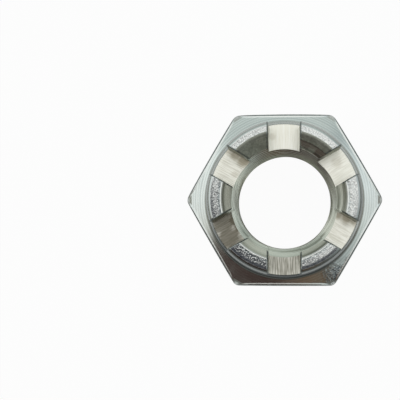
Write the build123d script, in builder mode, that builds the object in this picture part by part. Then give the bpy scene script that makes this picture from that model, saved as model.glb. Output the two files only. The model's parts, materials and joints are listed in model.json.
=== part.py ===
from build123d import *
from math import cos, radians, tan
import os

# Castle nut for an M24 bolt, forged in one piece from steel. The hexagon carries a turned crown,
# and six slots are milled through the crown so that a cotter pin can lock the nut on its bolt.
# Sizes are in millimetres. The origin is the centre of the bearing face, on which the nut stands,
# and +Z runs up the thread's axis to the crown. Two flats face +Y and -Y.

# Thread: ISO metric coarse. The hole has the radius of the nut's thread crests all the way.
thread_major_diameter = 24.0
thread_pitch = 3.0
crest_depth_in_pitches = 1.0825  # major diameter less minor diameter, in pitches
countersink_allowance = 0.9  # how much wider than the thread the mouth of a countersink is
countersink_angle = 105.0  # included

# Hexagon
flat_count = 6
across_flats = 36.0
hexagon_edge_rounding = 1.3  # upright edges, as the forging leaves them
nut_height = 27.0

# Bearing side: a flat ring, a shallow chamfer and a large rounding up into the corners
bearing_ring_width = 2.55
bearing_chamfer_angle = 20.0  # from the bearing face
bearing_rounding = 4.5

# Crown, and the cotter-pin slots in it, one over the middle of each flat
crown_wall = 3.6  # outside the thread's major diameter
crown_tip_rounding = 1.2
tooth_bevel_width = 0.75  # the shallow bevel inside a tooth's top, above the countersink
tooth_bevel_angle = 20.0  # from the bearing face
slot_count = 6
slot_width = 6.4
slot_floor_height = 19.0

# Shoulder: the turned cone between the crown and the corners
shoulder_below_slots = 0.8  # from a slot's floor down to where the cone meets the crown's wall
shoulder_angle = 23.0  # from the bearing face
crown_root_fillet = 1.8
shoulder_rounding = 1.9  # where the cone turns down into a corner
turning_margin = 0.035  # how far the turned outline clears the upright edges of the corners


def rounding_within(wall, turn, rounding):
    """The rounding of a corner that turns by this angle, or the largest that half the wall takes."""
    return min(rounding, 0.49 * wall / tan(radians(turn / 2)))


# Radii, from the axis outwards
thread_minor_diameter = thread_major_diameter - crest_depth_in_pitches * thread_pitch
bore_radius = thread_minor_diameter / 2
countersink_radius = (thread_major_diameter + countersink_allowance) / 2
tooth_top_radius = countersink_radius + tooth_bevel_width  # the inner edge of a tooth's flat top
bearing_radius = countersink_radius + bearing_ring_width
crown_radius = thread_major_diameter / 2 + crown_wall
half_flat_turn = radians(180 / flat_count)
sharp_corner_radius = across_flats / 2 / cos(half_flat_turn)
rounded_corner_radius = sharp_corner_radius - hexagon_edge_rounding * (1 / cos(half_flat_turn) - 1)
turned_radius = rounded_corner_radius + turning_margin

# Heights, from the bearing face upwards
countersink_depth = (countersink_radius - bore_radius) / tan(radians(countersink_angle / 2))
chamfer_top = (turned_radius - bearing_radius) * tan(radians(bearing_chamfer_angle))
mouth_height = nut_height - tooth_bevel_width * tan(radians(tooth_bevel_angle))
shoulder_top = slot_floor_height - shoulder_below_slots
shoulder_foot = shoulder_top - (turned_radius - crown_radius) * tan(radians(shoulder_angle))

# Roundings of the turned outline, in its order from the bearing face to the crown's tip
chamfer_length = (turned_radius - bearing_radius) / cos(radians(bearing_chamfer_angle))
shoulder_length = (turned_radius - crown_radius) / cos(radians(shoulder_angle))
outline_roundings = [
    rounding_within(chamfer_length, 90 - bearing_chamfer_angle, bearing_rounding),
    rounding_within(shoulder_length, 90 - shoulder_angle, shoulder_rounding),
    rounding_within(shoulder_length, 90 - shoulder_angle, crown_root_fillet),
    rounding_within(crown_radius - tooth_top_radius, 90, crown_tip_rounding),
]

with BuildPart() as castle_nut:
    # The section through one side of the nut, from the bearing face over a corner and the crown
    # to the countersunk hole, turned once about the thread's axis
    with BuildSketch(Plane.XZ) as section:
        with BuildLine() as outline:
            outside = FilletPolyline(
                (bearing_radius, 0),
                (turned_radius, chamfer_top),
                (turned_radius, shoulder_foot),
                (crown_radius, shoulder_top),
                (crown_radius, nut_height),
                (tooth_top_radius, nut_height),
                radius=outline_roundings,
            )
            Polyline(
                outside @ 1,
                (countersink_radius, mouth_height),
                (bore_radius, mouth_height - countersink_depth),
                (bore_radius, countersink_depth),
                (countersink_radius, 0),
                outside @ 0,
            )
        make_face()
    revolve(axis=Axis.Z)

    # The forged hexagon with its rounded upright edges; two of its corners lie on the X axis
    with BuildSketch(Plane.XY) as hexagon:
        RegularPolygon(across_flats / 2, flat_count, major_radius=False)
        fillet(hexagon.vertices(), hexagon_edge_rounding)
    extrude(amount=nut_height, mode=Mode.INTERSECT)

    # Each pass of the cutter mills two opposite slots
    with BuildSketch(Plane.XY.offset(slot_floor_height)) as slots:
        with PolarLocations(0, slot_count // 2, start_angle=90):
            Rectangle(2 * sharp_corner_radius, slot_width)
    extrude(amount=nut_height - slot_floor_height, mode=Mode.SUBTRACT)

castle_nut.part.label = "castle_nut"

os.makedirs("parts", exist_ok=True)
export_step(castle_nut.part, "parts/castle_nut.step")
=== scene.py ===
import json
from math import atan2, ceil, cos, pi, radians, sin, sqrt, tan

import bmesh
import bpy
import numpy as np
from mathutils import Matrix, Vector, noise


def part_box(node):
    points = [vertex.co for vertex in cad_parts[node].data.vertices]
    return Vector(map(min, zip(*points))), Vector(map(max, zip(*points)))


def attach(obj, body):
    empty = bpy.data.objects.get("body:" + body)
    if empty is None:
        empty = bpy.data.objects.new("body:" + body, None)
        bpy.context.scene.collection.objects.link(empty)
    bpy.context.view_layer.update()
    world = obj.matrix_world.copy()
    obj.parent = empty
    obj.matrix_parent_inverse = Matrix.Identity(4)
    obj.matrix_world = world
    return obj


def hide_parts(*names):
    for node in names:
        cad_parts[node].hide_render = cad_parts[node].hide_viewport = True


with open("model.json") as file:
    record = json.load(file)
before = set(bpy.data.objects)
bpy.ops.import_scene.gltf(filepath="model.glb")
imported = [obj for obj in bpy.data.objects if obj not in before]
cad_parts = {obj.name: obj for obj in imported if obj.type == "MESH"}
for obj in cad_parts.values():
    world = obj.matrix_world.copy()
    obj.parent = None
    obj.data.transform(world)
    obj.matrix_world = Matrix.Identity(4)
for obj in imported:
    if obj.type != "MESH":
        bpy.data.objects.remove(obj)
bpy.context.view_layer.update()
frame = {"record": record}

# ==================================================================================================
# The blank of the nut. A castle nut is forged from steel as a hexagon with rounded upright edges,
# its bearing side, shoulder and crown are turned in a lathe, and a cutter mills six slots through
# the crown for a cotter pin. The sizes are in millimetres.
# ==================================================================================================
MM = 0.001
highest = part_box("castle_nut")[1] / MM
half_flats, corner_radius, nut_height = highest.y, highest.x, highest.z
thread_mount = next(m for m in frame["record"]["mounts"] if m["name"] == "thread")
crest_radius = thread_mount["dims"]["r_mm"]
countersink_radius = 12.45
countersink_angle = 105.0
tooth_bevel_width = 0.75
tooth_bevel_angle = 20.0
bearing_radius = 15.0
bearing_chamfer_angle = 20.0
bearing_rounding = 4.18
crown_radius = 15.6
crown_tip_rounding = 1.2
crown_root_fillet = 1.8
shoulder_top = 18.2
shoulder_angle = 23.0
shoulder_rounding = 1.9
slot_half_width = 3.2
slot_floor = 19.0
flat_edge = 0.38  # rounding where the turning cuts the forged flats
burr = 0.10  # the lip that the turning throws up along that edge
burr_width = 0.36
bevel_rounding = 1.0  # between a tooth's top and its bevel
mouth_rounding = 0.8  # between the bevel and the countersink
mouth_lip = 0.06  # what the countersinking tool throws up there, where it hasn't skimmed the bevel
mouth_lip_width = 0.2  # on the bevel's side of the mouth
sink_foot_rounding = 0.3
milled_edge = 0.28  # rounding along the edges of every tooth beside the slots
floor_break = 0.06  # the small break at both ends of a slot's floor
turning_margin = 0.035  # how far the turned outline clears the upright edges of the corners
side_count = 6

half_turn = pi / side_count
turned_radius = corner_radius + turning_margin
corner_rounding = (half_flats / cos(half_turn) - corner_radius) / (1 / cos(half_turn) - 1)
tooth_top_radius = countersink_radius + tooth_bevel_width
mouth_height = nut_height - tooth_bevel_width * tan(radians(tooth_bevel_angle))
countersink_depth = (countersink_radius - crest_radius) / tan(radians(countersink_angle / 2))
chamfer_top = (turned_radius - bearing_radius) * tan(radians(bearing_chamfer_angle))
shoulder_foot = shoulder_top - (turned_radius - crown_radius) * tan(radians(shoulder_angle))
waist = nut_height / 3  # any height on the upright flats

# Which finish a face of the mesh has
FORGED, TURNED, TIP, MILLED, TAPPED, BEARING, EDGE, SLOT_SIDE, LIP, SKIMMED = range(10)


def rounded_path(corners, roundings, arc_steps=14):
    """A polyline in the half-plane (radius, height) with its inner corners rounded, and the
    distances along it at which each rounding starts and ends."""
    points, marks = [np.array(corners[0], float)], []
    for before, corner, after, rounding in zip(corners, corners[1:], corners[2:], roundings):
        back = np.subtract(before, corner) / np.linalg.norm(np.subtract(before, corner))
        ahead = np.subtract(after, corner) / np.linalg.norm(np.subtract(after, corner))
        half_angle = np.arccos(back @ ahead) / 2
        middle = (back + ahead) / np.linalg.norm(back + ahead)
        centre = corner + middle * rounding / sin(half_angle)
        start = corner + back * rounding / tan(half_angle) - centre
        end = corner + ahead * rounding / tan(half_angle) - centre
        turn = pi - 2 * half_angle
        marks.append(len(points))
        for share in np.linspace(0, 1, arc_steps + 1):
            spoke = (sin((1 - share) * turn) * start + sin(share * turn) * end) / sin(turn)
            points.append(centre + spoke)
        marks.append(len(points) - 1)
    points.append(np.array(corners[-1], float))
    path = np.array(points)
    distance = np.append(0, np.cumsum(np.linalg.norm(np.diff(path, axis=0), axis=1)))
    return path, distance, distance[marks]


def along(path, distance, start, stop, count):
    """count + 1 evenly spaced points of a path, between two distances along it."""
    wanted = np.linspace(start, stop, count + 1)
    return np.column_stack([np.interp(wanted, distance, path[:, i]) for i in (0, 1)])


def point_at(path, distance, where):
    """The point of a path at one distance along it."""
    return along(path, distance, where, where, 0)[0]


def hexagon_radius(angle):
    """The distance from the axis to the hexagon's wall, at an angle from its nearest corner."""
    arc_centre = corner_radius - corner_rounding
    arc_end = atan2(corner_rounding * sin(half_turn), arc_centre + corner_rounding * cos(half_turn))
    if abs(angle) > arc_end:
        return half_flats / cos(half_turn - abs(angle))
    return arc_centre * cos(angle) + sqrt(corner_rounding ** 2 - (arc_centre * sin(angle)) ** 2)


def eased_corner(first, corner, last, count=4):
    """The points between the ends of a small rounding where two surfaces meet."""
    share = np.linspace(0, 1, count + 1)[1:-1, None]
    return (1 - share) ** 2 * first + 2 * share * (1 - share) * corner + share ** 2 * last


# The turned outline, from the mouth of the hole under the nut to the flats, and from the flats over
# the shoulder and the crown into the hole again
under_path, under_distance = rounded_path(
    [(bearing_radius, 0), (turned_radius, chamfer_top), (turned_radius, waist)], [bearing_rounding])[:2]
over_path, over_distance, over_marks = rounded_path(
    [(turned_radius, waist), (turned_radius, shoulder_foot), (crown_radius, shoulder_top),
     (crown_radius, nut_height), (tooth_top_radius, nut_height), (countersink_radius, mouth_height),
     (crest_radius, mouth_height - countersink_depth), (crest_radius, slot_floor)],
    [shoulder_rounding, crown_root_fillet, crown_tip_rounding, bevel_rounding, mouth_rounding,
     sink_foot_rounding])
outside = over_path[:, 0] > (countersink_radius + crown_radius) / 2
floor_distance = np.interp(slot_floor, over_path[outside, 1], over_distance[outside])
ledge_distance = np.interp(slot_floor - floor_break, over_path[outside, 1], over_distance[outside])

# Each column of the mesh lies on a tooth, at a share of its half width, or in a slot, at an offset
# from the slot's middle
corner_share = 0.104  # what the hexagon's rounded upright edge takes up of a tooth's half width
side_columns, edge_columns, slot_columns = 19, 7, 21
tooth_shares = np.concatenate([
    np.linspace(-1, -corner_share, side_columns)[:-1],
    np.linspace(-corner_share, corner_share, edge_columns),
    np.linspace(corner_share, 1, side_columns)[1:]])
slot_offsets = np.linspace(slot_half_width, -slot_half_width, slot_columns)
floor_steps = 16  # along a slot, from the outside of the crown to the hole

# How many steps the mesh takes over each part of the nut below the slots
sink_steps, ring_steps, chamfer_steps, flat_steps, burr_steps, shoulder_steps = 4, 5, 14, 44, 3, 20


def tooth_angle(share, radius):
    """The angle from a tooth's middle at a share of its half width."""
    held = np.clip(radius, crest_radius, crown_radius)
    return share * (half_turn - np.arcsin((slot_half_width + milled_edge) / held))


def slot_angle(offset, radius):
    """The angle from the middle of the tooth before a slot, at an offset from the slot's middle."""
    return half_turn - np.arcsin(offset / np.clip(radius, crest_radius, crown_radius))


def shell_rows(angle):
    """The section of the blank below the slots, from the hole round the outside to the crown, and
    the finish of each of its points."""
    wall = hexagon_radius((angle + half_turn) % (2 * half_turn) - half_turn)
    low = np.interp(wall, under_path[:, 0], under_distance)
    high = np.interp(-wall, -over_path[:, 0], over_distance)
    chamfer = along(under_path, under_distance, 0, low - flat_edge, chamfer_steps)
    low_corner = point_at(under_path, under_distance, low)
    high_corner = point_at(over_path, over_distance, high)
    lip_foot = high + flat_edge + burr_width
    lip = along(over_path, over_distance, high + flat_edge, lip_foot, burr_steps)[:-1]
    lip[:, 1] += burr * np.linspace(1, 0, burr_steps, endpoint=False)
    shoulder = along(over_path, over_distance, lip_foot, ledge_distance, shoulder_steps)
    flat = np.linspace((wall, low_corner[1] + flat_edge), (wall, high_corner[1] - flat_edge),
                       flat_steps + 1)
    hole = [(crest_radius, slot_floor - floor_break), (crest_radius, countersink_depth)]
    sink = np.linspace((crest_radius, countersink_depth), (countersink_radius, 0), sink_steps + 1)[1:]
    ring = np.linspace((countersink_radius, 0), (bearing_radius, 0), ring_steps + 1)[1:-1]
    eased = eased_corner(flat[-1], high_corner + (0, burr), lip[0])
    # a face takes the finish of the row at its far end, and the burr's crest is an edge of its own
    rows = [hole, sink, ring, chamfer, eased_corner(chamfer[-1], low_corner, flat[0]), flat,
            eased[:2], eased[2:], lip[:1], lip[1:], shoulder[:1], shoulder[1:]]
    finishes = [TAPPED, TAPPED, BEARING, TURNED, LIP, FORGED, LIP, EDGE, EDGE, LIP, LIP, TURNED]
    zones = np.concatenate([np.full(len(part), zone) for part, zone in zip(rows, finishes)])
    return np.concatenate(rows), zones


# The outline of a tooth from its root over its top into the hole, in bands: the distance along the
# outline at which each one ends, how many steps the mesh takes over it, and its finish
(root_end, tip_start, tip_end, bevel_start, bevel_end, mouth_start, mouth_end, bore_start,
 bore_end) = over_marks[3:]
turned_share = 0.88  # how far over the rounding of the tip the lathe has cut
turned_end = tip_start + turned_share * (tip_end - tip_start)
tooth_bands = {
    "root": (root_end, 2, TURNED), "wall": (tip_start, 18, TURNED), "tip": (turned_end, 8, TURNED),
    "tip edge": (tip_end, 1, TIP), "top": (bevel_start, 6, TIP), "bevel edge": (bevel_end, 3, TIP),
    "bevel": (mouth_start - mouth_lip_width, 2, TIP), "lip": (mouth_start, 3, LIP),
    "mouth": (mouth_end, 4, LIP), "countersink": (bore_start, 9, TAPPED),
    "countersink foot": (bore_end, 2, TAPPED), "hole": (over_distance[-1], 1, TAPPED)}
lip_rise = np.array([1 / 3, 2 / 3, 1, 0.7, 0.3])  # the section of the lip, row by row
skimmed_teeth = 1, 2  # counted from +X, the teeth whose bevel the countersinking tool has skimmed

vertices, faces, face_zones, vertex_zones = [], [], [], []


def put(radius, height, angle, zone):
    """Adds a vertex and gives its number."""
    vertices.append((radius * cos(angle), radius * sin(angle), height))
    vertex_zones.append(zone)
    return len(vertices) - 1


def skin(columns, zones):
    """Quads between neighbouring columns of vertices; zones gives each row's finish."""
    for left, right in zip(columns, columns[1:]):
        for row in range(len(left) - 1):
            faces.append((left[row], right[row], right[row + 1], left[row + 1]))
            face_zones.append(zones[row])


tooth_rows = [[point_at(over_path, over_distance, floor_distance)]]
tooth_zones = []
last_row = {}
start = floor_distance
for band, (stop, steps, finish) in tooth_bands.items():
    tooth_rows.append(along(over_path, over_distance, start, stop, steps)[1:])
    tooth_zones += [finish] * steps
    last_row[band] = len(tooth_zones)
    start = stop
tooth_rows = np.concatenate(tooth_rows)

# Where the countersinking tool has skimmed a bevel there is no lip, and the skimmed skin reaches
# from just short of the bevel to the foot of the countersink
skimmed_zones = list(tooth_zones)
skimmed = range(last_row["top"] - 1, last_row["countersink"])
skimmed_zones[skimmed.start:skimmed.stop] = [SKIMMED] * len(skimmed)
lipped_rows = tooth_rows.copy()
lip_row = last_row["bevel"] + 1
lipped_rows[lip_row:lip_row + len(lip_rise), 1] += mouth_lip * lip_rise

# The direction from each row into the steel, for the roundings beside the slots
run = np.gradient(tooth_rows, axis=0)
inwards = np.column_stack([run[:, 1], -run[:, 0]]) / np.linalg.norm(run, axis=1)[:, None]
inwards *= -np.sign(inwards[2, 0])
floor_radii = np.linspace(
    tooth_rows[0, 0] - floor_break, tooth_rows[-1, 0] + floor_break, floor_steps + 1)

# The mesh goes round the nut column by column, over a tooth and then over the slot that follows it
shell, teeth, slots, rims = [], [], [], []
columns = [(False, share) for share in tooth_shares] + [(True, offset) for offset in slot_offsets]
for corner in range(side_count):
    turned_by = 2 * half_turn * corner
    teeth.append([])
    slots.append([])
    zones_here = skimmed_zones if corner in skimmed_teeth else tooth_zones
    rows_here = tooth_rows if corner in skimmed_teeth else lipped_rows
    for in_slot, place in columns:
        angle_at = slot_angle if in_slot else tooth_angle
        rows, zones = shell_rows(angle_at(place, crown_radius))
        shell.append([put(r, z, turned_by + angle_at(place, r), zone)
                      for (r, z), zone in zip(rows, zones)])
        if in_slot:
            above = [put(r, slot_floor, turned_by + angle_at(place, r), MILLED) for r in floor_radii]
            slots[-1].append(above)
        else:
            above = [put(r, z, turned_by + angle_at(place, r), zone)
                     for (r, z), zone in zip(rows_here, [TURNED] + zones_here)]
            teeth[-1].append(above)
        rims.append((in_slot, above[0], above[-1]))
    skin(teeth[-1], zones_here)
    skin(slots[-1], [MILLED] * floor_steps)
skin(shell + shell[:1], zones[1:])

# The rim of the shell joins the teeth and the slots' floors
for here, (in_slot, outer, inner) in enumerate(rims):
    following = here + 1 - len(rims)
    next_in_slot, next_outer, next_inner = rims[following]
    milled = in_slot or next_in_slot
    skin([[shell[here][-1], outer], [shell[following][-1], next_outer]], [MILLED if milled else TURNED])
    skin([[inner, shell[here][0]], [next_inner, shell[following][0]]], [MILLED if milled else TAPPED])

# Each side of a slot is flat and joins its tooth along a rounded edge
for corner in range(side_count):
    turned_by = 2 * half_turn * corner
    following = (corner + 1) % side_count
    for way, tooth, tooth_edge, floor_edge in (
            (1, corner, teeth[corner][-1], slots[corner][0]),
            (-1, following, teeth[following][0], slots[corner][-1])):
        rows_here = tooth_rows if tooth in skimmed_teeth else lipped_rows
        columns = [tooth_edge]
        for turn in radians(30), radians(60), radians(90):
            offset = way * (slot_half_width + milled_edge * (1 - sin(turn)))
            rows = rows_here + milled_edge * (1 - cos(turn)) * inwards
            edge = [put(r, z, turned_by + slot_angle(offset, r), EDGE) for r, z in rows[1:-1]]
            columns.append([floor_edge[0]] + edge + [floor_edge[-1]])
        for near, far in zip(columns, columns[1:]):
            skin([near, far], [EDGE] * len(tooth_zones))
        faces.append(tuple(columns[-1] + floor_edge[-2:0:-1]))
        face_zones.append(SLOT_SIDE)

shape = bmesh.new()
corners = [shape.verts.new(place) for place in vertices]
for face, zone in zip(faces, face_zones):
    shape.faces.new([corners[number] for number in dict.fromkeys(face)]).material_index = zone
bmesh.ops.recalc_face_normals(shape, faces=shape.faces)
shape.normal_update()


def lumps(place, size, shift, level=0.6):
    """Noise about a level, whose lumps are about this size; each use has its own shift."""
    return noise.noise(place / size + Vector(shift)) + level


def forged_depth(place):
    """How far the scale and the dies have left a forged surface below its true form. Every other
    flat, the one at -Y among them, is coarse all over; the others are smooth with a few pits. Each
    kind of unevenness has its depth and the size of its lumps, in millimetres."""
    around = atan2(place.y, place.x)
    coarse = min(1, max(0, 0.5 + 4 * cos(side_count / 2 * (around + pi / 2))))
    swell = 0.022 * lumps(place, 4.2, (0, 0, 0))
    scale = (0.006 + 0.034 * coarse) * lumps(place, 0.62, (7, 1, 3))
    pits = 0.16 * (1 - 0.5 * coarse) * max(0, lumps(place, 1.1, (2, 9, 4), -0.30))
    return max(0, swell + scale + pits)


def tip_depth(place):
    """The same for the top of a tooth, which the lathe doesn't reach and which is rougher."""
    return max(0, 0.022 * lumps(place, 0.8, (5, 2, 8)) + 0.032 * lumps(place, 0.36, (1, 6, 2)))


depth_of = {FORGED: forged_depth, TIP: tip_depth}
for corner, zone in zip(corners, vertex_zones):
    if zone in depth_of:
        corner.co -= corner.normal * depth_of[zone](corner.co)

nut_mesh = bpy.data.meshes.new("castle_nut_shape")
shape.to_mesh(nut_mesh)
shape.free()
nut = bpy.data.objects.new("castle_nut_plated", nut_mesh)
bpy.context.scene.collection.objects.link(nut)

# ==================================================================================================
# The thread, M24 x 3 right-hand. A tap cuts it through the hole after the slots are milled, so it
# runs out in the countersinks and leaves sharp ends at every slot.
# ==================================================================================================
thread_pitch = 3.0
root_radius = 12.0
flank_angle = 30.0
tap_radius = crest_radius - 0.5  # inside the hole, where the tap's teeth meet no steel
steps_per_turn = 144
overrun = 2.0  # how far the tap runs past both ends of the nut
root_at_floor = radians(270)  # where a groove's root is level with the slots' floors

root_half_width = thread_pitch / 16  # the root's flat is an eighth of the pitch wide
tap_half_width = root_half_width + (root_radius - tap_radius) * tan(radians(flank_angle))
groove = [(tap_radius, -tap_half_width), (root_radius, -root_half_width),
          (root_radius, root_half_width), (tap_radius, tap_half_width)]
first_angle = root_at_floor - (slot_floor + overrun) / thread_pitch * 2 * pi
step_count = ceil((nut_height + 2 * overrun) / thread_pitch * steps_per_turn)
tap = bmesh.new()
sections = []
for step in range(step_count + 1):
    angle = first_angle + 2 * pi * step / steps_per_turn
    height = slot_floor + thread_pitch * (angle - root_at_floor) / (2 * pi)
    sections.append([tap.verts.new((radius * cos(angle), radius * sin(angle), height + rise))
                     for radius, rise in groove])
for before, after in zip(sections, sections[1:]):
    for here in range(len(groove)):
        following = (here + 1) % len(groove)
        tap.faces.new((before[here], before[following], after[following], after[here]))
tap.faces.new(sections[0])
tap.faces.new(sections[-1])
for face in tap.faces:
    face.material_index = TAPPED
bmesh.ops.recalc_face_normals(tap, faces=tap.faces)
tap_mesh = bpy.data.meshes.new("tap")
tap.to_mesh(tap_mesh)
tap.free()
tap_object = bpy.data.objects.new("tap", tap_mesh)
bpy.context.scene.collection.objects.link(tap_object)

# ==================================================================================================
# The finishes. The whole nut is zinc plated and passivated clear, which leaves bright grey steel
# that is cool in tone. Under the thin plating each way of working the steel still shows. Some
# finishes also carry painted shade and painted reflections.
# ==================================================================================================


def feed(tree, socket, value):
    """Gives a socket a value of its own, or links another node's output to it."""
    if isinstance(value, bpy.types.NodeSocket):
        tree.links.new(value, socket)
    else:
        socket.default_value = value


def add(tree, kind, inputs, **settings):
    """A new shader node with its settings, and with its sockets fed."""
    node = tree.nodes.new(kind)
    for name, value in settings.items():
        setattr(node, name, value)
    for name, value in inputs.items():
        feed(tree, node.inputs[name], value)
    return node


def calc(tree, operation, *values):
    """The result of one sum on values or other nodes' outputs."""
    return add(tree, "ShaderNodeMath", dict(enumerate(values)), operation=operation).outputs[0]


def scaled(tree, place, scale):
    return add(tree, "ShaderNodeVectorMath", {0: place, 1: scale}, operation="MULTIPLY").outputs[0]


def place_in_mm(tree):
    place = add(tree, "ShaderNodeTexCoord", {}).outputs["Object"]
    return scaled(tree, place, (1 / MM,) * 3)


def speckle(tree, place, detail):
    """Noise from 0 to 1 whose lumps are about one unit of the place across."""
    noise_inputs = {"Vector": place, "Scale": 1.0, "Detail": detail}
    return add(tree, "ShaderNodeTexNoise", noise_inputs).outputs["Fac"]


def grain(tree, place, size, detail=2.0, stretch=(1, 1, 1)):
    """Noise from 0 to 1 whose lumps are about this size in millimetres."""
    return speckle(tree, scaled(tree, place, tuple(share / size for share in stretch)), detail)


def ramp(tree, value, low, high, first=0.0, last=1.0):
    """The value's way from low to high, turned into a way from first to last and held there."""
    return add(tree, "ShaderNodeMapRange", {"Value": value, "From Min": low, "From Max": high,
                                            "To Min": first, "To Max": last}).outputs["Result"]


def blend(tree, share, first, second):
    """From the first colour to the second one, each of them given or another node's output."""
    first, second = [colour if isinstance(colour, bpy.types.NodeSocket) else (*colour, 1)
                     for colour in (first, second)]
    return add(tree, "ShaderNodeMix", {0: share, 6: first, 7: second}, data_type="RGBA").outputs[2]


def plated(name):
    """A new zinc plated finish, its nodes and its shader, ready for colour, roughness and relief."""
    finish = bpy.data.materials.new(name)
    finish.use_nodes = True
    shader = finish.node_tree.nodes["Principled BSDF"]
    shader.inputs["Metallic"].default_value = 1.0
    return finish, finish.node_tree, shader


def surface(tree, shader, colour, roughness, relief, depth):
    """Gives a finish its colour, its roughness, and a relief of this depth in millimetres."""
    bump = add(tree, "ShaderNodeBump", {"Height": relief, "Distance": depth * MM, "Strength": 1.0})
    feed(tree, shader.inputs["Base Color"], colour)
    feed(tree, shader.inputs["Roughness"], roughness)
    feed(tree, shader.inputs["Normal"], bump.outputs[0])


def by_bearing(tree, around, colours):
    """A colour for each direction round the nut, blended between the given ones. Their bearings
    are in degrees from +X."""
    turn = calc(tree, "FRACT", calc(tree, "MULTIPLY_ADD", around, 1 / (2 * pi), 1.0))
    band = add(tree, "ShaderNodeValToRGB", {"Fac": turn})
    elements = band.color_ramp.elements
    while len(elements) < len(colours):
        elements.new(0.5)
    for element, (bearing, colour) in zip(elements, colours):
        element.position = bearing / 360
        element.color = (*colour, 1)
    return band.outputs["Color"]


def facing(tree, around, bearing):
    """1 on the side of the nut that faces this bearing, and down to -1 on the far side."""
    return calc(tree, "COSINE", calc(tree, "SUBTRACT", around, radians(bearing)))


def round_the_axis(tree, place):
    """The distance from the thread's axis, the angle round it and the height."""
    x, y, z = add(tree, "ShaderNodeSeparateXYZ", {0: place}).outputs
    squares = calc(tree, "ADD", calc(tree, "MULTIPLY", x, x), calc(tree, "MULTIPLY", y, y))
    return calc(tree, "SQRT", squares), calc(tree, "ARCTAN2", y, x), z


def tool_marks(tree, place, travel, pitch, wander):
    """Lines that a turning tool leaves at every pitch of its travel. They wander by a share of the
    pitch, and none is quite like the next."""
    drift, ridge_share, uneven_share = 0.9, 0.45, 0.9
    level = scaled(tree, place, (1, 1, 0))
    way = add(tree, "ShaderNodeVectorMath", {0: level}, operation="NORMALIZE").outputs[0]
    climb = calc(tree, "MULTIPLY", travel, drift / pitch)
    climb = add(tree, "ShaderNodeCombineXYZ", {2: climb}).outputs[0]
    track = add(tree, "ShaderNodeVectorMath", {0: way, 1: climb}, operation="ADD").outputs[0]
    uneven = speckle(tree, track, 3.0)
    phase = calc(tree, "ADD", calc(tree, "MULTIPLY", travel, 2 * pi / pitch),
                 calc(tree, "MULTIPLY", uneven, 2 * pi * wander))
    ridge = calc(tree, "MULTIPLY_ADD", calc(tree, "SINE", phase), 0.5, 0.5)
    uneven = calc(tree, "MULTIPLY", uneven, uneven_share)
    return calc(tree, "MULTIPLY_ADD", ridge, ridge_share, uneven)


def spotted(tree, place, ragged, spots):
    """How heavily a surface is marked, from 0 to 1. Each spot has a place, a radius and a weight, and
    its edge is as ragged as the given noise."""
    total = 0.0
    for x, y, z, radius, weight in spots:
        heart, fringe = 0.9 * radius, 1.5 * radius
        between = {0: place, 1: (x, y, z)}
        away = add(tree, "ShaderNodeVectorMath", between, operation="DISTANCE").outputs["Value"]
        away = calc(tree, "MULTIPLY_ADD", ragged, 0.9 * radius, away)
        total = calc(tree, "MAXIMUM", total, ramp(tree, away, fringe, heart, 0.0, weight))
    return total


def forged_finish():
    finish, tree, shader = plated("plated_forged_steel")
    place = place_in_mm(tree)
    around = round_the_axis(tree, place)[1]
    # every other flat is coarse, the one at -Y among them
    turn = calc(tree, "COSINE", calc(tree, "MULTIPLY_ADD", around, side_count / 2, 1.5 * pi))
    coarse_flat = ramp(tree, turn, -0.05, 0.15)
    fine, blotch = grain(tree, place, 0.42, 3), grain(tree, place, 4.0, 2)
    cloud = ramp(tree, blotch, 0.30, 0.70)
    coarse = blend(tree, cloud, (0.80, 0.83, 0.89), (0.97, 0.96, 0.91))
    coarse = blend(tree, ramp(tree, fine, 0.47, 0.36, 0.0, 0.75), coarse, (0.22, 0.24, 0.27))
    smooth = blend(tree, cloud, (0.78, 0.83, 0.87), (0.88, 0.92, 0.94))
    smooth = blend(tree, ramp(tree, fine, 0.40, 0.30, 0.0, 0.5), smooth, (0.40, 0.43, 0.46))
    height = calc(tree, "MULTIPLY", fine, ramp(tree, coarse_flat, 0.0, 1.0, 0.10, 0.50))
    surface(tree, shader, blend(tree, coarse_flat, smooth, coarse),
            roughness=ramp(tree, coarse_flat, 0.0, 1.0, 0.38, 0.22), relief=height, depth=1.0)
    return finish


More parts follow.
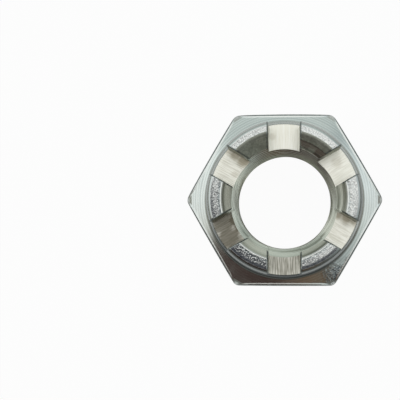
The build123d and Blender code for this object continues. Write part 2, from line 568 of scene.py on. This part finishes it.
def turned_finish(name="plated_turned_steel"):
    finish, tree, shader = plated(name)
    place = place_in_mm(tree)
    across, around, height = round_the_axis(tree, place)
    lines = tool_marks(tree, place, calc(tree, "SUBTRACT", across, height), pitch=0.74, wander=0.5)
    # the crown's wall is finished finer than the shoulder below it
    line_depth = ramp(tree, height, shoulder_top + 0.6, shoulder_top - 0.6, 0.12, 1.0)
    lines = calc(tree, "MULTIPLY", calc(tree, "SUBTRACT", lines, 0.55), line_depth)
    colour = blend(tree, ramp(tree, lines, -0.30, 0.30), (0.75, 0.78, 0.78), (0.95, 0.965, 0.95))
    # painted shade darkens the fillet at the crown's root, most on the side towards 262 degrees
    root_shade_side = ramp(tree, facing(tree, around, 262), 0.2, 0.8, 0.12, 0.88)
    root_shade = ramp(tree, across, crown_radius + 1.2, crown_radius + 0.7)
    root_shade = calc(tree, "MULTIPLY", root_shade, root_shade_side)
    root_shade = calc(tree, "MULTIPLY", root_shade, ramp(tree, height, slot_floor + 1.5, slot_floor))
    colour = blend(tree, root_shade, colour, (0.09, 0.10, 0.11))
    # painted shade darkens the rounding at the teeth's tips, most on the side towards 290 degrees
    tip_shade_side = ramp(tree, facing(tree, around, 290), -0.7, 0.5, 0.12, 0.62)
    tip_foot = nut_height - crown_tip_rounding
    rim = calc(tree, "MULTIPLY", ramp(tree, height, tip_foot - 0.2, tip_foot + 0.3), tip_shade_side)
    colour = blend(tree, rim, colour, (0.20, 0.22, 0.24))
    # three spots of the forging lay too low for the lathe
    missed = spotted(tree, place, grain(tree, place, 1.5), [
        (-17.6, -8.6, 16.6, 1.9, 0.9), (10.6, -15.4, 16.8, 2.8, 1.0), (14.2, -12.6, 16.8, 1.6, 0.6)])
    fine = grain(tree, place, 0.36, 3)
    rough = blend(tree, ramp(tree, fine, 0.42, 0.58), (0.20, 0.23, 0.28), (0.85, 0.88, 0.90))
    line_height, pit_height = 0.021, 0.12
    pits = calc(tree, "MULTIPLY", calc(tree, "MULTIPLY", fine, missed), pit_height)
    surface(tree, shader, blend(tree, missed, colour, rough),
            roughness=ramp(tree, grain(tree, place, 3.0), 0.3, 0.7, 0.17, 0.25),
            relief=calc(tree, "MULTIPLY_ADD", lines, line_height, pits), depth=1.0)
    return finish


def tip_finish():
    finish, tree, shader = plated("plated_tooth_top")
    place = place_in_mm(tree)
    across, around = round_the_axis(tree, place)[:2]
    fine, coarse = grain(tree, place, 0.30, 3), grain(tree, place, 0.42, 4)
    colour = blend(tree, ramp(tree, fine, 0.3, 0.7), (0.68, 0.70, 0.72), (0.97, 0.98, 0.97))
    # one side of the crown is the roughest and has the thinnest plating
    rough_side = facing(tree, around, 236)
    # dark seams wind between the lumps
    seam_side = ramp(tree, rough_side, -1.0, 0.2, 0.1, 0.9)
    seam = calc(tree, "ABSOLUTE", calc(tree, "SUBTRACT", coarse, 0.5))
    seam = calc(tree, "MULTIPLY", ramp(tree, seam, 0.05, 0.015), seam_side)
    colour = blend(tree, seam, colour, (0.10, 0.11, 0.12))
    hollows = ramp(tree, fine, 0.59, 0.49, 0.08, 1.0)
    hollows = calc(tree, "MULTIPLY", ramp(tree, rough_side, 0.25, 0.95), hollows)
    colour = blend(tree, hollows, colour, (0.085, 0.09, 0.10))
    # and a band of painted shade runs along the outer edge of the top, heaviest on the side towards 262
    # degrees
    rim_shade_side = ramp(tree, facing(tree, around, 262), -0.2, 0.7, 0.03, 0.9)
    tip_radius = crown_radius - crown_tip_rounding
    rim = calc(tree, "MULTIPLY", ramp(tree, across, tip_radius - 0.45, tip_radius - 0.15), rim_shade_side)
    colour = blend(tree, rim, colour, (0.06, 0.065, 0.08))
    surface(tree, shader, colour, roughness=0.25, relief=fine, depth=0.11)
    return finish


def milled_finish():
    finish, tree, shader = plated("plated_milled_steel")
    place = place_in_mm(tree)
    across, around, height = round_the_axis(tree, place)
    # each slot's own turn about the axis brings its length onto one direction
    sixth = calc(tree, "SNAP", around, 2 * half_turn)
    turned = calc(tree, "SUBTRACT", around, calc(tree, "ADD", sixth, half_turn))
    along_slot = calc(tree, "MULTIPLY", across, calc(tree, "COSINE", turned))
    across_slot = calc(tree, "MULTIPLY", across, calc(tree, "SINE", turned))
    # long streaks, five to a millimetre, and different ones in each slot
    lay = add(tree, "ShaderNodeCombineXYZ", {
        0: calc(tree, "MULTIPLY", along_slot, 0.3), 1: calc(tree, "MULTIPLY", across_slot, 5.0),
        2: calc(tree, "ADD", height, calc(tree, "MULTIPLY", sixth, 9.0))}).outputs[0]
    streak = speckle(tree, lay, 4.0)
    cloud = grain(tree, place, 1.3, 5)
    ragged = calc(tree, "MULTIPLY_ADD", cloud, 0.7, calc(tree, "MULTIPLY", streak, 0.3))
    colour = blend(tree, ramp(tree, streak, 0.3, 0.7), (0.87, 0.86, 0.78), (0.975, 0.975, 0.93))
    # brown stain spots, with brown painted shade along one wall of the slots at 150 and 330 degrees, a
    # dark film that is heaviest on one floor, and scores that are heaviest in the slot at -Y; each spot
    # has its place on the floors, its radius and its weight
    stains_and_wall_shade = [(-8.3, 8.2, 1.9, 0.75), (-9.9, 9.3, 1.7, 0.65), (-11.4, 10.2, 1.3, 0.45),
              (-10.4, 5.2, 1.0, 0.22), (11.1, -2.9, 1.6, 0.65), (12.9, -3.8, 1.7, 0.70),
              (14.3, -4.6, 1.3, 0.55), (10.9, 7.6, 1.4, 0.22), (-2.6, 13.0, 0.9, 0.25),
              (-11.2, 6.6, 3.4, 0.07), (11.0, -6.4, 3.4, 0.07)]
    film = [(-8.9, -3.9, 4.6, 0.99), (-11.4, -8.0, 4.2, 0.90), (-12.6, -5.0, 4.2, 0.86),
            (0, -12.8, 5.2, 0.40)]
    scores = [(0, -12.8, 5.0, 1.0), (-10.6, -6.2, 5.0, 0.7), (-11.0, 6.4, 4.0, 0.34),
              (11.0, -6.4, 4.0, 0.28), (11.0, 6.4, 3.4, 0.20)]
    stained_and_wall_shaded, filmed, scored = [
        spotted(tree, place, edge, [(x, y, slot_floor, reach, weight) for x, y, reach, weight in spots])
        for spots, edge in ((stains_and_wall_shade, ragged), (film, ragged), (scores, cloud))]
    scored = calc(tree, "MULTIPLY", ramp(tree, streak, 0.54, 0.42, 0.0, 0.62), scored)
    # brown stain spots, and the painted shade along the slots' walls
    colour = blend(tree, stained_and_wall_shaded, colour, (0.36, 0.31, 0.21))
    colour = blend(tree, filmed, colour, (0.15, 0.135, 0.105))
    colour = blend(tree, scored, colour, (0.12, 0.115, 0.085))
    surface(tree, shader, colour, roughness=0.33, relief=streak, depth=0.03)
    return finish


def tapped_finish():
    finish, tree, shader = plated("plated_tapped_steel")
    place = place_in_mm(tree)
    across, around, height = round_the_axis(tree, place)
    lines = tool_marks(tree, place, calc(tree, "ADD", height, across), pitch=0.42, wander=0.8)
    rings = tool_marks(tree, place, across, pitch=1.3, wander=0.9)
    colour = blend(tree, ramp(tree, lines, 0.3, 0.8), (0.53, 0.545, 0.475), (0.81, 0.825, 0.745))
    colour = blend(tree, ramp(tree, rings, 0.54, 0.40, 0.0, 0.75), colour, (0.22, 0.22, 0.17))
    colour = blend(tree, ramp(tree, rings, 0.62, 0.78, 0.0, 0.85), colour, (0.98, 0.975, 0.88))
    # how far painted reflection brightens the hole, and then how far painted shade darkens it, by
    # bearing
    glinting_bearings = [(0, 0.0), (136, 0.0), (143, 0.9), (157, 0.9), (164, 0.0), (222, 0.0), (235, 0.55),
              (262, 0.45), (300, 0.0), (316, 0.1), (322, 0.75), (344, 0.75), (350, 0.0), (360, 0.0)]
    shaded_bearings = [(0, 0.50), (14, 0.46), (30, 0.12), (120, 0.16), (138, 0.0), (166, 0.0), (185, 0.20),
             (215, 0.10), (240, 0.0), (275, 0.04), (300, 0.16), (330, 0.12), (360, 0.50)]
    for shares, tone in (glinting_bearings, (0.97, 0.96, 0.86)), (shaded_bearings, (0.14, 0.14, 0.11)):
        share = by_bearing(tree, around, [(bearing, (share,) * 3) for bearing, share in shares])
        colour = blend(tree, share, colour, tone)
    surface(tree, shader, colour, roughness=0.24, relief=lines, depth=0.014)
    return finish


def dark_edge_finish():
    finish, tree, shader = plated("plated_edge_painted_dark")
    fine = grain(tree, place_in_mm(tree), 0.5, 3)
    # the roundings along the edges are painted dark: a painted dark reflection of the low surroundings
    colour = blend(tree, ramp(tree, fine, 0.35, 0.65), (0.22, 0.24, 0.24), (0.38, 0.41, 0.41))
    surface(tree, shader, colour, roughness=0.34, relief=fine, depth=0.04)
    return finish


def lip_finish():
    finish, tree, shader = plated("plated_lip")
    fine = grain(tree, place_in_mm(tree), 0.7, 3)
    colour = blend(tree, fine, (0.80, 0.83, 0.83), (0.97, 0.98, 0.97))
    surface(tree, shader, colour, roughness=0.3, relief=fine, depth=0.02)
    return finish


def skimmed_finish():
    finish, tree, shader = plated("plated_skimmed_bevel")
    place = place_in_mm(tree)
    across = round_the_axis(tree, place)[0]
    fine, coarse = grain(tree, place, 0.4, 3), grain(tree, place, 2.0, 3)
    colour = blend(tree, ramp(tree, fine, 0.3, 0.7), (0.46, 0.48, 0.42), (0.74, 0.76, 0.68))
    colour = blend(tree, ramp(tree, coarse, 0.6, 0.4, 0.0, 0.5), colour, (0.36, 0.37, 0.32))
    # the bevel is darker than the countersink
    bevel = ramp(tree, across, countersink_radius - 0.15, countersink_radius + 0.25, 0.0, 0.62)
    colour = blend(tree, bevel, colour, (0.17, 0.175, 0.15))
    surface(tree, shader, colour, roughness=0.46, relief=fine, depth=0.05)
    return finish


def shaded_slot_side_finish():
    finish, tree, shader = plated("plated_slot_side_painted_shade")
    place = place_in_mm(tree)
    streak = grain(tree, place, 0.5, 3, stretch=(0.4, 0.4, 1.6))
    # the sides are painted dark: painted shade inside the narrow slots
    colour = blend(tree, ramp(tree, streak, 0.3, 0.7), (0.26, 0.26, 0.20), (0.46, 0.47, 0.38))
    surface(tree, shader, colour, roughness=0.42, relief=streak, depth=0.03)
    return finish


finishes = {
    FORGED: forged_finish(), TURNED: turned_finish(), TIP: tip_finish(), MILLED: milled_finish(),
    TAPPED: tapped_finish(), BEARING: turned_finish("plated_bearing_face"), EDGE: dark_edge_finish(),
    SLOT_SIDE: shaded_slot_side_finish(), LIP: lip_finish(), SKIMMED: skimmed_finish()}
for part in (nut, tap_object):
    for zone in sorted(finishes):
        part.data.materials.append(finishes[zone])

# The tap cuts its thread, and the nut comes down to its size in metres
cut = nut.modifiers.new("thread", "BOOLEAN")
cut.operation = "DIFFERENCE"
cut.solver = "MANIFOLD"
cut.object = tap_object
cut_nut = nut.evaluated_get(bpy.context.evaluated_depsgraph_get())
threaded_mesh = bpy.data.meshes.new_from_object(cut_nut)
nut.modifiers.clear()
nut.data = threaded_mesh
bpy.data.objects.remove(tap_object)
nut.data.transform(Matrix.Scale(MM, 4))

crisp_angle = 28.0  # an edge that turns by more than this looks sharp
nut.data.shade_smooth()
nut.data.set_sharp_from_angle(angle=radians(crisp_angle))
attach(nut, "root")
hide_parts("castle_nut")

# ==================================================================================================
# The floor is a sheet of white paper, which isn't part of the nut. Soft white and grey screens stand
# round it, with a dark gap on one side, and give the metal its reflections.
# ==================================================================================================
half_sheet = 1.0
paper_level = -0.00001  # a little below the bearing face, so that the two don't lie in one plane
sheet_corners = [(-half_sheet, -half_sheet), (half_sheet, -half_sheet),
                 (half_sheet, half_sheet), (-half_sheet, half_sheet)]
floor_mesh = bpy.data.meshes.new("floor_mesh")
floor_mesh.from_pydata([(x, y, paper_level) for x, y in sheet_corners], [], [(0, 1, 2, 3)])
floor = bpy.data.objects.new("floor", floor_mesh)
bpy.context.scene.collection.objects.link(floor)
paper = bpy.data.materials.new("white_paper")
paper.use_nodes = True
tree = paper.node_tree
tree.nodes.remove(tree.nodes["Principled BSDF"])
rays = add(tree, "ShaderNodeLightPath", {}).outputs
seen_white, mirrored_white = 0.96, 0.1  # how white the sheet is to the eye and in the metal
seen = calc(tree, "MAXIMUM", calc(tree, "MULTIPLY", rays["Is Camera Ray"], seen_white),
            calc(tree, "MULTIPLY", rays["Is Glossy Ray"], mirrored_white))
matt = add(tree, "ShaderNodeBsdfDiffuse", {"Color": (0.85, 0.85, 0.85, 1)}).outputs[0]
glow = add(tree, "ShaderNodeEmission", {"Color": (1, 1, 1, 1), "Strength": 1.0}).outputs[0]
mixed = add(tree, "ShaderNodeMixShader", {0: seen, 1: matt, 2: glow}).outputs[0]
feed(tree, tree.nodes["Material Output"].inputs["Surface"], mixed)
floor_mesh.materials.append(paper)

world = bpy.data.worlds.new("studio")
world.use_nodes = True
bpy.context.scene.world = world
tree = world.node_tree
direction = add(tree, "ShaderNodeTexCoord", {}).outputs["Generated"]
east, north, height = add(tree, "ShaderNodeSeparateXYZ", {0: direction}).outputs
around = calc(tree, "ARCTAN2", north, east)
screens = by_bearing(tree, around, [
    (0, (0.72, 0.77, 0.76)), (20, (0.735, 0.805, 0.805)), (38, (0.60, 0.675, 0.675)),
    (50, (0.35, 0.41, 0.41)), (62, (0.52, 0.585, 0.565)), (134, (0.52, 0.59, 0.57)),
    (143, (0.83, 0.895, 0.87)), (182, (0.80, 0.845, 0.825)), (195, (0.68, 0.70, 0.65)),
    (202, (0.38, 0.39, 0.35)), (208, (0.08, 0.065, 0.055)), (225, (0.045, 0.028, 0.024)),
    (262, (0.045, 0.028, 0.024)), (275, (0.10, 0.072, 0.055)), (292, (0.13, 0.09, 0.055)),
    (305, (0.10, 0.10, 0.09)), (317, (0.36, 0.41, 0.40)), (335, (0.46, 0.51, 0.49)),
    (350, (0.67, 0.73, 0.70)), (360, (0.72, 0.77, 0.76))])
below_screens = by_bearing(tree, around, [
    (0, (0.24, 0.24, 0.215)), (70, (0.42, 0.455, 0.43)), (150, (0.33, 0.35, 0.325)),
    (190, (0.25, 0.25, 0.21)), (220, (0.155, 0.163, 0.148)), (305, (0.145, 0.152, 0.136)),
    (340, (0.17, 0.17, 0.15)), (360, (0.24, 0.24, 0.215))])
screens_foot, screens_full = 0.39, 0.56  # heights, from 0 at the horizon to 1 overhead
studio_light = blend(tree, ramp(tree, height, screens_foot, screens_full), below_screens, screens)
# the lamp's own screen hangs overhead, a little to the north
lamp_edge, lamp_full, lamp_tilt = 0.86, 0.955, 0.15
overhead = ramp(tree, calc(tree, "MULTIPLY_ADD", north, lamp_tilt, height), lamp_edge, lamp_full)
studio_light = blend(tree, overhead, studio_light, (1.0, 1.0, 0.96))
rays = add(tree, "ShaderNodeLightPath", {}).outputs
backdrop = blend(tree, rays["Is Camera Ray"], studio_light, (1, 1, 1))
feed(tree, tree.nodes["Background"].inputs["Color"], backdrop)

# ==================================================================================================
# The camera looks almost straight down into the crown, a little from the side of the flat at -Y,
# and its shift sets the nut right of the middle.
# ==================================================================================================
camera_place = Vector((0.00068, -0.00854, 0.190))
camera_data = bpy.data.cameras.new("camera")
camera_data.sensor_width = 36.0
camera_data.lens = 74.4
camera_data.clip_start = 0.01
camera_data.clip_end = 10.0
camera_data.shift_x = -0.12
camera = bpy.data.objects.new("camera", camera_data)
camera.location = camera_place
camera.rotation_euler = (radians(2.81), radians(2.74), 0)
bpy.context.scene.collection.objects.link(camera)
bpy.context.scene.camera = camera
bpy.context.scene.view_settings.view_transform = "Standard"
